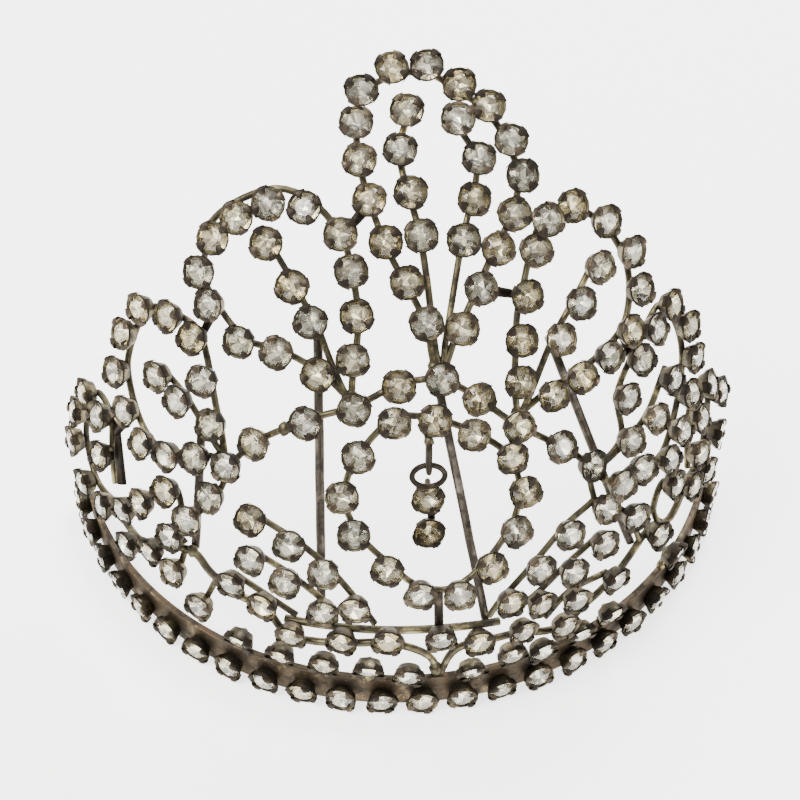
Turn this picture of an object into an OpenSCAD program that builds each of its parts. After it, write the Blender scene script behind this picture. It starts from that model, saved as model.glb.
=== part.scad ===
// Openwork tiara of round stones in claw cups, soldered on bent wire.
// The front faces -Y, +Z is up, and the origin is on the floor below the
// middle of the whole piece. Millimetres.

/* [Dome] */
// Radius of the stone faces at the base
face_r = 79.5; // [79:0.1:80]
// How far behind the origin the middle of the half ring lies
ring_back = 41.3; // [40.5:0.1:42]
// Height where the upright wall starts to lean back
lean_start = 21; // [20.5:0.1:21.5]
// Lean of the lower bend, in degrees
lean_angle = 31; // [30.5:0.1:31.5]
// Radius of the lower bend
lower_bend_r = 54; // [53:0.5:55]
// Straight stretch above the lower bend
straight_run = 18; // [17:0.5:19]
// Radius of the cap above it
cap_bend_r = 145; // [142:1:148]
// Smallest sideways radius, at the top of the peak
cap_side_r = 50; // [49:0.5:51]
// How much the lean fades towards the ends, as a share
side_fade = 0.55; // [0.53:0.01:0.57]

/* [Settings] */
// Radius of a cup at its rim
rim_r = 3.4; // [3.35:0.01:3.42]
// Radius of a cup at its back
cup_back_r = 2.3; // [2.1:0.1:2.4]
// Depth of a cup's back below the stone's table
cup_depth = 3.4; // [3.35:0.01:3.45]
// Radius of a stone at its girdle
stone_r = 2.88; // [2.8:0.01:2.88]
// Radius of a stone's table
table_r = 1.75; // [1.5:0.05:1.9]

/* [Wire] */
// Radius of the wires
wire_r = 0.75; // [0.7:0.01:0.8]
// Radius of the straight rods at the back
rod_r = 0.8; // [0.75:0.05:0.9]
// Clear gap between pieces that are soldered together on the real tiara
joint_gap = 0.15; // [0.12:0.01:0.2]

/* [Base] */
// Height of the base strip
strip_h = 9.2; // [8.5:0.1:9.4]
// Thickness of the base strip
strip_t = 1.4; // [1:0.1:1.8]
// Azimuth of the strip's left end
strip_left = -79; // [-80:1:-78]
// Azimuth of the strip's right end
strip_right = 75; // [74:1:77]
// Number of stones in the bottom row
row_a_count = 24; // [20:1:24]
// Angle between two stones of the bottom row
row_a_pitch = 6.42; // [6.3:0.01:6.45]
// Azimuth of its first stone
row_a_first = -75.7; // [-76:0.1:-75]
// Height of the bottom row's stones
row_a_height = 3.6; // [3.5:0.1:4]

/* [Drop] */
// Sideways place of the point where the drop hangs
pivot_x = 3.7; // [3.5:0.1:4]
// Distance of that point in front of the half ring's middle
pivot_front = 59; // [58.5:0.1:59.5]
// Height of that point
pivot_z = 59; // [58.5:0.1:59.5]
// Radius of the jump ring, to the middle of its wire
jump_r = 3.3; // [3.1:0.1:3.4]
// Radius of the wire of the jump ring and the eye
thin_r = 0.6; // [0.55:0.05:0.65]
// Clear gap between the jump ring and the eye
hang_gap = 0.3; // [0.3:0.05:0.4]
// How far the drop's two stones look up, in degrees
drop_lean = 20; // [15:1:22]
// Distance between the drop's two stones
drop_pitch = 8.1; // [7.9:0.1:8.5]

/* [Hidden] */
// Strands. Each row of a strand's table is [stone number, azimuth, distance up the dome,
// sideways shift of the wire, lift off the dome]. Numbers between two rows are bent smoothly
// between them. Rows before the first stone or after the last one lead the bare wire to its joint.
PEAK = [[-1, 6, 86], [0, 4.5, 95], [2, -4, 111], [4, -9, 127], [6, -8, 141], [7, -1, 146],
    [8, 7, 146], [9, 14, 141], [10, 20.5, 135.1], [11, 25.5, 127], [12, 28, 119.5],
    [13, 25.9, 112.6], [14, 21.5, 107], [16, 12.5, 93], [17, 8, 85]];
PEAK_SPRAY_L = [[0, 2, 137], [1, 0, 129], [3, 4, 112], [6, 7, 86]];
PEAK_SPRAY_R = [[0, 13, 132.7, 0, 4], [1, 17.5, 125, 0, 1], [3, 13.5, 110], [6, 8, 86]];
LEAF_L1 = [[-1, -12, 80], [0, -12, 88], [1, -11, 96.4], [2, -12, 105], [3, -14, 112], [4, -22, 116, -2],
    [5, -31, 115, -3], [7, -48, 103, -3], [8, -51, 95, -1], [9, -46, 90], [10, -37, 86], [11, -28.5, 86.4],
    [12, -19, 84], [13, -13, 80]];
LEAF_L1_SPRAY = [[0, -32, 107], [1, -26, 100], [2, -22, 94], [4, -13, 80]];
LEAF_R1 = [[-1, 22, 73], [0, 23, 80], [2, 28.5, 96], [3, 31.2, 104], [4, 32.6, 109.2, 0, 4],
    [5, 42.1, 109], [6, 55, 101], [7, 58, 92], [8, 56, 84], [9, 50, 78], [12, 29, 75], [13, 23, 73]];
LEAF_R1_SPRAY = [[0, 49, 94], [2, 34, 85], [4, 23, 73]];
LEAF_L2 = [[-1, -35, 60], [0, -38, 67], [2, -47, 82], [3, -54, 83], [4, -61, 80], [5, -63, 72],
    [6, -62, 63], [8, -51, 54], [10, -39.5, 58.6], [11, -35, 60]];
LEAF_L2_SPRAY = [[0, -52, 70], [1, -46, 68], [3, -35, 60]];
LEAF_R2 = [[-1, 34, 54], [0, 42, 57], [1, 44, 66], [2, 50, 71], [3, 56, 74], [4, 62.4, 74.8],
    [5, 65.3, 66.5], [6, 64, 59], [8, 54, 49], [9, 49, 46], [10, 42.7, 49.5], [11, 35.6, 52.1, 0, 4],
    [12, 34, 54]];
LEAF_R2_SPRAY = [[0, 56, 61], [1, 49, 57], [3, 35, 54]];
LEAF_L3 = [[-1, -40, 41], [0, -43.5, 48], [1, -48, 41], [2, -52, 35], [3, -58, 29], [4, -66, 26],
    [5, -71, 33], [6, -71, 42], [7, -69, 50], [8, -63, 50], [9, -60, 42], [10, -58, 35]];
LEAF_L3_STUB = [[0, -62, 52], [1, -56, 37]];
LEAF_R3 = [[-2, 47, 27.5], [-1, 45.5, 34.5], [0, 49, 39], [1, 54, 33], [2, 60, 30], [3, 66, 34],
    [4, 70, 42], [5, 66, 49], [6, 60, 46], [7, 57.5, 38.5], [8, 57, 34]];
GARLAND_L = [[0, 7, 84], [1, -2, 83], [2, -11, 78.2], [3, -20, 74], [4, -29, 67], [5, -33.3, 60.1],
    [6, -35, 52], [8, -41, 38], [9, -39.5, 35.5]];
GARLAND_R = [[-1, 7, 84], [0, 14, 79], [1, 20.2, 72.1, 0, 2], [2, 28, 64], [3, 33, 57], [4, 33.5, 46.5],
    [5, 39, 40], [6, 41.5, 29]];
RING = [[0, 5, 76], [1, -3, 76], [2, -9.5, 68.6], [3, -12, 60], [4, -9.6, 52.4], [5, -4, 45], [6, 1, 39],
    [7, 7, 38], [9, 17, 50], [10, 19.8, 57.7], [11, 18.5, 65.5], [12, 12, 72], [13, 5, 76]];
FAN_L1 = [[0, -27, 51], [1, -20, 48], [2, -14, 43], [3, -9, 35], [4, -5.5, 26.5]];
FAN_L2 = [[0, -26, 42], [1, -20, 39], [2, -14, 33], [3, -12, 26.5]];
FAN_L3 = [[0, -29, 34], [1, -23.5, 31], [2, -17.5, 26.5]];
FAN_R1 = [[-1, 33, 48], [0, 26, 45], [2, 15, 33], [3, 11.5, 26]];
FAN_R2 = [[0, 32, 38.5], [1, 25.8, 35.2], [2, 20, 30], [3, 14.5, 25.5]];
FAN_R3 = [[0, 34, 26], [1, 26.3, 26.5], [2, 21, 19]];
SWAG_L = [[-2, 4, 9.6], [-1, 2, 17], [0, -4, 26, 2.8], [1, -11, 25, 2.8], [2, -19, 24, 2.8], [3, -24, 27],
    [4, -29, 28], [5, -34, 31], [6, -38, 34.5], [7, -45, 30], [8, -51, 25], [9, -57.5, 27.5]];
SWAG_R = [[-2, 4.5, 9.6], [-1, 6.5, 17], [0, 10, 23, -2.8], [1, 17, 23, -2.8], [2, 24.5, 19, -2.8],
    [3, 30, 18.5], [4, 36, 22.5], [5, 44, 29.5], [6, 50.5, 25], [7, 56.5, 30.5]];
TOP_BAR = [[0, -20.8, 24.9, 0, -0.3], [2, -11, 25.6, 0, -0.3], [5, 4, 25.5, 0, -0.3],
    [7, 14, 24.3, 0, -0.3]];
CENTRE_STONE = [4, 26];
// Stones of the upper row, each on its own post: [azimuth, height].
UPPER_ROW = [[-28, 16], [-21, 15.5], [-14, 15.5], [-7, 15.5], [-0.8, 13.2], [9, 12.8], [15.5, 15.3],
    [20.8, 12.8], [28, 13], [34, 13.5], [50, 14.5]];
// Stones that hang below the swag: [azimuth, height, azimuth of the stub's foot, its height].
HUNG = [[-35, 22, -33, 30], [-40, 28.5, -39.5, 33.5]];

metal_colour = [0.42, 0.39, 0.31];
strip_colour = [0.47, 0.39, 0.28];
stone_colour = [0.80, 0.77, 0.70];

// Claw cups and stones, in millimetres below the stone's table unless the name says otherwise.
rim_depth = 0.7;
claw_t = 0.4;
claw_half = 1.1;
claw_reach_r = 2.35;
tip = 6;
tip_depth = 1.7;
table_depth = 0.3;
girdle_depth = 1.25;
culet_depth = 2.8;
pocket_r = stone_r + 0.12;
floor_depth = 2.95;
floor_r = 0.9;
post_depth = cup_depth + 0.3;
wire_depth = cup_depth + wire_r + 0.2;
peg_r = wire_r + 0.5;
peg_h = 2 * wire_r + 0.3;
foot_r = 0.8;
solder_r = wire_r + 0.7;
fan_stop_r = wire_r + 0.5;
// How much wider than a cup's rim the room cut for it is
room_flare = 0.45 + joint_gap;
// How much closer to the faces a wire runs for each millimetre of its sideways shift
shift_rise = 0.36;
// How far the upper row looks down, as a slope
upper_row_nod = 0.22;
// How far below the strip's edge a post starts, and how far above its cup's middle it ends
post_sunk = 1.5;
post_over = 0.5;
// A length well past the piece, for the cut between the strip's two ends
far = 300;
tie_r = wire_r + 0.1;
// How far from the middle of the other wire a tie stops
tie_stop = peg_r + joint_gap + 0.1;
eye_stem_r = thin_r + 0.25;
strip_r = face_r - cup_depth + 0.2;
behind = wire_depth + peg_h / 2 + rod_r + joint_gap;

// Side view of the dome: [radius, height] at a distance s up from the floor. The share k
// bends it less without changing its length.
function profile(s, k) = let(
    t1 = lean_angle * k, r1 = lower_bend_r / k, r2 = cap_bend_r / k,
    s1 = lean_start + lower_bend_r * lean_angle * PI / 180, s2 = s1 + straight_run,
    ra = face_r - r1 * (1 - cos(t1)), za = lean_start + r1 * sin(t1),
    rb = ra - straight_run * sin(t1), zb = za + straight_run * cos(t1),
    t = s < s1 ? (s - lean_start) / r1 * 180 / PI : t1 + (s - s2) / r2 * 180 / PI)
    s < lean_start ? [face_r, s]
    : s < s1 ? [face_r - r1 * (1 - cos(t)), lean_start + r1 * sin(t)]
    : s < s2 ? [ra - (s - s1) * sin(t1), za + (s - s1) * cos(t1)]
    : [rb - r2 * (cos(t1) - cos(t)), zb + r2 * (sin(t) - sin(t1))];

// A point of the dome that the stones' tables lie on, from its azimuth and distance up.
function dome(a, s) = let(
    p = profile(s, 1 - side_fade * pow(min(abs(a), 90) / 90, 2)), side_r = max(p[0], cap_side_r))
    [side_r * sin(a), ring_back + side_r * (1 - cos(a)) - p[0], p[1]];
function unit(v) = v / norm(v);
function outward(a, s) = unit(cross(
    dome(a + 0.5, s) - dome(a - 0.5, s),
    dome(a, s + 0.5) - dome(a, s - 0.5)));
function at(a, s, depth) = dome(a, s) - depth * outward(a, s);

// Smooth value in column c of a strand's table at stone number t.
function column(row, c) = row[c] == undef ? 0 : row[c];
function span(keys, t, i = 0) = i >= len(keys) - 2 || t <= keys[i + 1][0] ? i : span(keys, t, i + 1);
function slope(keys, i, c) = let(a = keys[max(i - 1, 0)], b = keys[min(i + 1, len(keys) - 1)])
    (column(b, c) - column(a, c)) / (b[0] - a[0]);
function bend(keys, t, c) = let(
    i = span(keys, t), p = keys[i], q = keys[i + 1], h = q[0] - p[0], u = (t - p[0]) / h)
    (2 * u * u * u - 3 * u * u + 1) * column(p, c) + (u * u * u - 2 * u * u + u) * h * slope(keys, i, c)
    + (3 * u * u - 2 * u * u * u) * column(q, c) + (u * u * u - u * u) * h * slope(keys, i + 1, c);

function face_at(keys, t) = at(bend(keys, t, 1), bend(keys, t, 2), -bend(keys, t, 4));
function out_at(keys, t) = outward(bend(keys, t, 1), bend(keys, t, 2));
function side_at(keys, t) = unit(cross(out_at(keys, t), face_at(keys, t + 0.2) - face_at(keys, t - 0.2)));
// The wire runs behind the cups, and closer to the faces where it is shifted to their side.
function wire_at(keys, t) = let(shift = bend(keys, t, 3))
    face_at(keys, t) + side_at(keys, t) * shift - out_at(keys, t) * (wire_depth - abs(shift) * shift_rise);

// Moves a piece to p and turns its own z to n.
module turned(p, n) {
    side = unit(cross([0, 0, 1], n));
    up = cross(n, side);
    translate(p)
        multmatrix([[side[0], up[0], n[0], 0], [side[1], up[1], n[1], 0], [side[2], up[2], n[2], 0]])
            children();
}

// Places a cup at p with its mouth along n. The claws' turn and a small tip of the cup vary
// from one number to the next.
module place(p, n, number) {
    turned(p - n * tip_depth, n)
        rotate([tip * sin(number * 137), tip * sin(number * 71 + 40), 45 + 3 * tip * sin(number * 53)])
            translate([0, 0, tip_depth]) children();
}

module rod(p, q, r) {
    v = q - p;
    translate(p) rotate([0, acos(v[2] / norm(v)), atan2(v[1], v[0])])
        cylinder(h = norm(v), r = r, $fn = 24);
}

// A short round peg that joins the wires that meet at a strand's number t, and the cup on them.
module peg(keys, t, r = peg_r, h = peg_h) {
    turned(wire_at(keys, t), out_at(keys, t)) cylinder(h = h, r = r, center = true, $fn = 32);
}

// A claw cup: a tapered wall with a pocket, four claws that reach in over the stone, and a short
// foot that joins it to the wire behind. A cup that the wire touches at its side has no foot.
module cup(foot = true) {
    back = foot ? [[0, -wire_depth], [foot_r, -wire_depth], [foot_r, -cup_depth]] : [[0, -cup_depth]];
    wall = [[cup_back_r, -cup_depth], [rim_r, -rim_depth], [pocket_r, -rim_depth],
        [pocket_r, -girdle_depth - 0.1], [floor_r, -floor_depth], [0, -floor_depth]];
    rotate_extrude($fn = 48) polygon(concat(back, wall));
    for (i = [0 : 3]) rotate([0, 0, 90 * i]) translate([0, 0, -rim_depth - 0.05]) linear_extrude(claw_t)
        polygon([[rim_r - 0.2, -claw_half], [rim_r - 0.2, claw_half], [claw_reach_r, 0]]);
}

// A cut stone: an eight-sided table, eight crown facets and eight facets below the girdle.
module stone() {
    corner = [for (i = [0 : 7]) [cos(45 * i + 22.5), sin(45 * i + 22.5)]];
    polyhedron(
        points = concat([for (c = corner) [table_r * c[0], table_r * c[1], -table_depth]],
            [for (c = corner) [stone_r * c[0], stone_r * c[1], -girdle_depth]], [[0, 0, -culet_depth]]),
        faces = concat([[for (i = [7 : -1 : 0]) i]],
            [for (i = [0 : 7]) [i, (i + 1) % 8, 8 + (i + 1) % 8, 8 + i]],
            [for (i = [0 : 7]) [8 + i, 8 + (i + 1) % 8, 16]]));
}

// Puts what it is given, a cup or a stone, at each of a strand's stone numbers.
module along(keys, numbers) {
    for (t = numbers) place(face_at(keys, t), out_at(keys, t), t + len(keys)) children();
}

// The wire of a strand from number t0 to t1, with a peg at each bend. Each straight length stops
// inside the pegs at its ends.
module wire(keys, t0, t1, r = wire_r) {
    for (t = [t0 : t1 - 1]) {
        p = wire_at(keys, t);
        q = wire_at(keys, t + 1);
        rod(p + unit(q - p) * peg_r / 3, q - unit(q - p) * peg_r / 3, r);
        if (t > t0) peg(keys, t);
    }
}

module strand(keys, count, t0, t1) {
    wire(keys, t0, t1);
    along(keys, [0 : count - 1]) cup();
}

// Solder where a strand's end meets its carrier.
module solder(keys, t) {
    peg(keys, t, solder_r, peg_h + 0.2);
}

// The room that a strand takes, cut from the pieces that are soldered to it later.
module room(keys, t0, t1, numbers = []) {
    for (t = [t0 : t1 - 1]) rod(wire_at(keys, t), wire_at(keys, t + 1), wire_r + joint_gap);
    for (t = [t0 : t1]) peg(keys, t, peg_r + joint_gap, peg_h + 2 * joint_gap);
    along(keys, numbers) translate([0, 0, -cup_depth - joint_gap])
        cylinder(h = cup_depth + 0.8, r1 = cup_back_r + joint_gap, r2 = rim_r + room_flare, $fn = 48);
}

// Base strip with the bottom row of cups, and the upper row on its posts.
function on_strip(a, z) = let(r = strip_r - strip_t / 2) [r * sin(a), ring_back - r * cos(a), z];
module row_a() {
    for (i = [0 : row_a_count - 1]) let(a = row_a_first + row_a_pitch * i)
        place(dome(a, row_a_height), outward(a, row_a_height), i) children();
}
module upper_row() {
    for (u = UPPER_ROW) {
        nod = unit(outward(u[0], u[1]) - [0, 0, upper_row_nod]);
        place(dome(u[0], u[1]), nod, u[0]) children();
    }
}
module base_band() {
    color(strip_colour) {
        translate([0, ring_back, 0]) difference() {
            cylinder(h = strip_h, r = strip_r, $fn = 200);
            translate([0, 0, -1]) cylinder(h = strip_h + 2, r = strip_r - strip_t, $fn = 200);
            linear_extrude(3 * strip_h, center = true) polygon([[0, 0],
                far * [sin(strip_left), -cos(strip_left)], far * [-1, 1], far * [1, 1],
                far * [sin(strip_right), -cos(strip_right)]]);
        }
        row_a() cup();
        upper_row() cup();
        for (u = UPPER_ROW)
            rod(on_strip(u[0], strip_h - post_sunk), at(u[0], u[1] + post_over, post_depth), wire_r);
    }
}
module row_a_stones() {
    color(stone_colour) row_a() stone();
}
module upper_row_stones() {
    color(stone_colour) upper_row() stone();
}

// Swag: two wires that rise from a knot on the strip and dip again towards the ends.
module hung() {
    for (h = HUNG) place(dome(h[0], h[1]), outward(h[0], h[1]), h[0]) children();
}
module swag() {
    color(metal_colour) difference() {
        union() {
            wire(SWAG_L, -2, 9);
            wire(SWAG_R, -2, 7);
            solder(SWAG_L, -2);
            solder(SWAG_L, 6);
            along(SWAG_L, [0, 1, 2]) cup(false);
            along(SWAG_L, [7, 8]) cup();
            along(SWAG_R, [0, 1, 2]) cup(false);
            along(SWAG_R, [5]) cup();
            hung() cup();
            for (h = HUNG) rod(at(h[0], h[1], post_depth), at(h[2], h[3], wire_depth), wire_r);
        }
        translate([0, ring_back, 0])
            cylinder(h = strip_h + joint_gap, r = strip_r + joint_gap, $fn = 200);
    }
}
module swag_stones() {
    color(stone_colour) {
        along(SWAG_L, [0, 1, 2, 7, 8]) stone();
        along(SWAG_R, [0, 1, 2, 5]) stone();
        hung() stone();
    }
}

// Bar across the middle, with the centre stone on it.
module centre_place() {
    a = CENTRE_STONE[0];
    s = CENTRE_STONE[1];
    place(dome(a, s), outward(a, s), 3) children();
}
module top_bar() {
    color(metal_colour) {
        wire(TOP_BAR, 0, 7);
        centre_place() cup();
    }
}
module top_bar_stone() {
    color(stone_colour) centre_place() stone();
}

// Garland: the chain that runs from the middle junction down to both ends of the swag.
module garland() {
    color(metal_colour) difference() {
        union() {
            strand(GARLAND_L, 9, 0, 9);
            strand(GARLAND_R, 6, -1, 6);
            solder(GARLAND_L, 0);
        }
        room(SWAG_L, 5, 7);
        room(SWAG_R, 4, 5, [5]);
    }
}
module garland_stones() {
    color(stone_colour) {
        along(GARLAND_L, [0 : 8]) stone();
        along(GARLAND_R, [0 : 5]) stone();
    }
}

// Centre ring, with a tie down to the bar and the eye that the drop hangs in.
eye_r = 2 * thin_r + hang_gap;
eye_h = 5.5;
// How far above the centre stone's foot the ring's tie ends
ring_tie_end = 1.4;
pivot = [pivot_x, ring_back - pivot_front, pivot_z];
module half_loop(p, r, start) {
    translate(p) rotate([90, 0, 90]) rotate([0, 0, start])
        rotate_extrude(angle = 180, $fn = 32) translate([r, 0]) circle(r = thin_r, $fn = 20);
}
module eye() {
    top = pivot + [0, 0, eye_h];
    for (y = [-eye_r, eye_r]) rod(pivot + [0, y, 0], top + [0, y, 0], thin_r);
    half_loop(pivot, eye_r, 180);
    half_loop(top, eye_r, 0);
    rod(top + [0, 0, eye_r], wire_at(RING, 0.2), eye_stem_r);
}
module centre_ring() {
    color(metal_colour) {
        wire(RING, 0, 13);
        peg(RING, 0);
        along(RING, [0 : 12]) cup();
        rod(wire_at(RING, 6.5), at(CENTRE_STONE[0], CENTRE_STONE[1] + ring_tie_end, wire_depth), tie_r);
        eye();
    }
}
module centre_ring_stones() {
    color(stone_colour) along(RING, [0 : 12]) stone();
}

// Drop: a jump ring in the eye, soldered to the upper of two cups, and a strip behind both cups.
drop_look = [0, -cos(drop_lean), sin(drop_lean)];
drop_down = [0, -sin(drop_lean), -cos(drop_lean)];
// How far in front of the pivot the upper cup's stone lies
drop_front = 1.1;
drop_top = pivot + [0, -drop_front, -2 * jump_r - rim_r];
// Sideways place of the strip behind the cups, and where the jump ring's link ends in the upper cup
strip_shift = 0.8;
link_depth = 2.4;
link_up = 3.5;
module drop_place(i) {
    place(drop_top + drop_down * drop_pitch * i, drop_look, i + 5) children();
}
module drop() {
    back = drop_top + [strip_shift, 0, 0] - drop_look * post_depth;
    color(metal_colour) {
        translate(pivot - [0, 0, jump_r]) rotate([90, 0, 0])
            rotate_extrude($fn = 48) translate([jump_r, 0]) circle(r = thin_r, $fn = 20);
        rod(pivot - [0, 0, 2 * jump_r], drop_top - drop_look * link_depth - drop_down * link_up, thin_r);
        drop_place(0) cup();
        drop_place(1) cup();
        rod(back - drop_down, back + drop_down * (drop_pitch + 1), wire_r);
    }
}
module drop_stones() {
    color(stone_colour) {
        drop_place(0) stone();
        drop_place(1) stone();
    }
}

// Peak: a pear-shaped loop with two sprays inside, rising from the middle junction.
module peak() {
    color(metal_colour) difference() {
        union() {
            strand(PEAK, 17, -1, 17);
            strand(PEAK_SPRAY_L, 4, 0, 6);
            strand(PEAK_SPRAY_R, 4, 0, 6);
            solder(PEAK, -1);
            solder(PEAK, 17);
        }
        room(GARLAND_L, 0, 1, [0]);
        room(GARLAND_R, -1, 0);
        peg(GARLAND_L, 0, solder_r + joint_gap, peg_h + 1);
    }
}
module peak_stones() {
    color(stone_colour) along(PEAK, [0 : 16]) stone();
}
module peak_spray_stones() {
    color(stone_colour) {
        along(PEAK_SPRAY_L, [0 : 3]) stone();
        along(PEAK_SPRAY_R, [0 : 3]) stone();
    }
}

// Leaves: loops with a short spray inside, each soldered to the garland at its tip.
module leaf(loop, count, spray, spray_count, spray_end) {
    strand(loop, count, loop[0][0], count);
    strand(spray, spray_count, 0, spray_end);
    solder(loop, loop[0][0]);
}
module tie(p, q) {
    rod(p, q - unit(q - p) * tie_stop, tie_r);
}
module leaf_l1() {
    color(metal_colour) difference() {
        union() {
            leaf(LEAF_L1, 13, LEAF_L1_SPRAY, 3, 4);
            tie(wire_at(LEAF_L1, 3), wire_at(PEAK, 3));
        }
        room(GARLAND_L, 1, 3, [2]);
    }
}
module leaf_r1() {
    color(metal_colour) difference() {
        union() {
            leaf(LEAF_R1, 13, LEAF_R1_SPRAY, 3, 4);
            tie(wire_at(LEAF_R1, 2), wire_at(PEAK, 15));
        }
        room(GARLAND_R, 0, 2, [1]);
    }
}
module leaf_l2() {
    color(metal_colour) difference() {
        union() {
            leaf(LEAF_L2, 11, LEAF_L2_SPRAY, 2, 3);
            tie(wire_at(LEAF_L2, 2), wire_at(LEAF_L1, 9));
        }
        room(GARLAND_L, 4, 6, [5]);
    }
}
module leaf_r2() {
    color(metal_colour) difference() {
        union() {
            leaf(LEAF_R2, 12, LEAF_R2_SPRAY, 2, 3);
            tie(wire_at(LEAF_R2, 2), wire_at(LEAF_R1, 9));
        }
        room(GARLAND_R, 3, 4, [3, 4]);
    }
}
module leaf_l3() {
    color(metal_colour) difference() {
        union() {
            strand(LEAF_L3, 10, -1, 10);
            wire(LEAF_L3_STUB, 0, 1, tie_r);
            tie(wire_at(LEAF_L3_STUB, 0.3), wire_at(LEAF_L2, 7));
            solder(LEAF_L3, -1);
        }
        room(GARLAND_L, 7, 8, [7, 8]);
        room(SWAG_L, 8, 9);
    }
}
module leaf_r3() {
    color(metal_colour) difference() {
        union() {
            strand(LEAF_R3, 8, -2, 8);
            solder(LEAF_R3, -2);
        }
        room(SWAG_R, 5, 7, [5]);
    }
}
module leaf_l1_stones() {
    color(stone_colour) {
        along(LEAF_L1, [0 : 12]) stone();
        along(LEAF_L1_SPRAY, [0 : 2]) stone();
    }
}
module leaf_r1_stones() {
    color(stone_colour) {
        along(LEAF_R1, [0 : 12]) stone();
        along(LEAF_R1_SPRAY, [0 : 2]) stone();
    }
}
module leaf_l2_stones() {
    color(stone_colour) {
        along(LEAF_L2, [0 : 10]) stone();
        along(LEAF_L2_SPRAY, [0 : 1]) stone();
    }
}
module leaf_r2_stones() {
    color(stone_colour) {
        along(LEAF_R2, [0 : 11]) stone();
        along(LEAF_R2_SPRAY, [0 : 1]) stone();
    }
}
module leaf_l3_stones() {
    color(stone_colour) along(LEAF_L3, [0 : 9]) stone();
}
module leaf_r3_stones() {
    color(stone_colour) along(LEAF_R3, [0 : 7]) stone();
}

// Fans: short rows between the centre ring and the garland's ends. Each stops just short of the
// wire that carries it.
module fan(keys, count, t0, t1) {
    color(metal_colour) difference() {
        strand(keys, count, t0, t1);
        peg(keys, t1, fan_stop_r, 2 * peg_h);
        children();
    }
}
module fan_l1() {
    fan(FAN_L1, 4, 0, 4) room(TOP_BAR, 1, 4);
}
module fan_l2() {
    fan(FAN_L2, 3, 0, 3) room(TOP_BAR, 1, 3);
}
module fan_l3() {
    fan(FAN_L3, 2, 0, 2) room(TOP_BAR, 0, 2);
}
module fan_r1() {
    fan(FAN_R1, 3, -1, 3) {
        room(TOP_BAR, 5, 7);
        room(GARLAND_R, 3, 5, [4]);
    }
}
module fan_r2() {
    fan(FAN_R2, 3, 0, 3) room(TOP_BAR, 5, 7);
}
module fan_r3() {
    fan(FAN_R3, 2, 0, 2) room(SWAG_R, 1, 3, [2]);
}
module fan_left_stones() {
    color(stone_colour) {
        along(FAN_L1, [0 : 3]) stone();
        along(FAN_L2, [0 : 2]) stone();
        along(FAN_L3, [0 : 1]) stone();
    }
}
module fan_right_stones() {
    color(stone_colour) {
        along(FAN_R1, [0 : 2]) stone();
        along(FAN_R2, [0 : 2]) stone();
        along(FAN_R3, [0 : 1]) stone();
    }
}

// Straight rods behind the openwork: [azimuth and height of the foot, azimuth and height of the top].
RODS = [[-38.5, 34, -43, 66], [-15, 26.4, -21.5, 92], [12, 24.4, 6.5, 84], [41, 27, 34, 85]];
module rod_between(i) {
    ends = RODS[i];
    color(metal_colour) rod(at(ends[0], ends[1], behind), at(ends[2], ends[3], behind), rod_r);
}
module rod_1() {
    rod_between(0);
}
module rod_2() {
    rod_between(1);
}
module rod_3() {
    rod_between(2);
}
module rod_4() {
    rod_between(3);
}

base_band();
row_a_stones();
upper_row_stones();
swag();
swag_stones();
top_bar();
top_bar_stone();
garland();
garland_stones();
centre_ring();
centre_ring_stones();
drop();
drop_stones();
peak();
peak_stones();
peak_spray_stones();
leaf_l1();
leaf_l1_stones();
leaf_l2();
leaf_l2_stones();
leaf_l3();
leaf_l3_stones();
leaf_r1();
leaf_r1_stones();
leaf_r2();
leaf_r2_stones();
leaf_r3();
leaf_r3_stones();
fan_l1();
fan_l2();
fan_l3();
fan_left_stones();
fan_r1();
fan_r2();
fan_r3();
fan_right_stones();
rod_1();
rod_2();
rod_3();
rod_4();
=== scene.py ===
import math
import random

import bmesh
import bpy
from mathutils import Matrix, Vector


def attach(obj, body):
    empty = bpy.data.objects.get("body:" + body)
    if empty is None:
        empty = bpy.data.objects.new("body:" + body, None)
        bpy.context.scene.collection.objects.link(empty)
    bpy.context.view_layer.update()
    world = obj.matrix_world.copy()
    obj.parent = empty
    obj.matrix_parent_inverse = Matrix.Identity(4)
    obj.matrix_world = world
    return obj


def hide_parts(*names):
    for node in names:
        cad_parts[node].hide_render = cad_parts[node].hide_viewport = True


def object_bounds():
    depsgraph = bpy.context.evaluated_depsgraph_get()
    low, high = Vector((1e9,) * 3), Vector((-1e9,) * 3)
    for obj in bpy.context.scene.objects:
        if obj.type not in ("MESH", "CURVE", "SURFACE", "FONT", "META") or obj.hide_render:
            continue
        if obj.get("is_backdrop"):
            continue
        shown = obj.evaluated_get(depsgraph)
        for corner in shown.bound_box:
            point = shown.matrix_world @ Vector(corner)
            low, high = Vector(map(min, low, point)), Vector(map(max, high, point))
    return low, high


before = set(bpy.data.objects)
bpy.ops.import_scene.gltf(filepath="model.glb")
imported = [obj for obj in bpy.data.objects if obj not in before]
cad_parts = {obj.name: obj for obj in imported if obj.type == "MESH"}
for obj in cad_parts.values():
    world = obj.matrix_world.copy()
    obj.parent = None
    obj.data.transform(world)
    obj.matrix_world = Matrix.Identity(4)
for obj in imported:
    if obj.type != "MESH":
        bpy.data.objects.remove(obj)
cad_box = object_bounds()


# Table top and studio
# The tiara stands on a pale table, in soft light from large panels. The camera looks down on
# its front, a little from the left. RING_BACK is how far behind the origin, in millimetres,
# the middle of the base strip's half ring is.
MM = 0.001
LOOK_DOWN = math.radians(47)
LOOK_TURN = math.radians(3)
CAMERA_DISTANCE = 400 * MM
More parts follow.
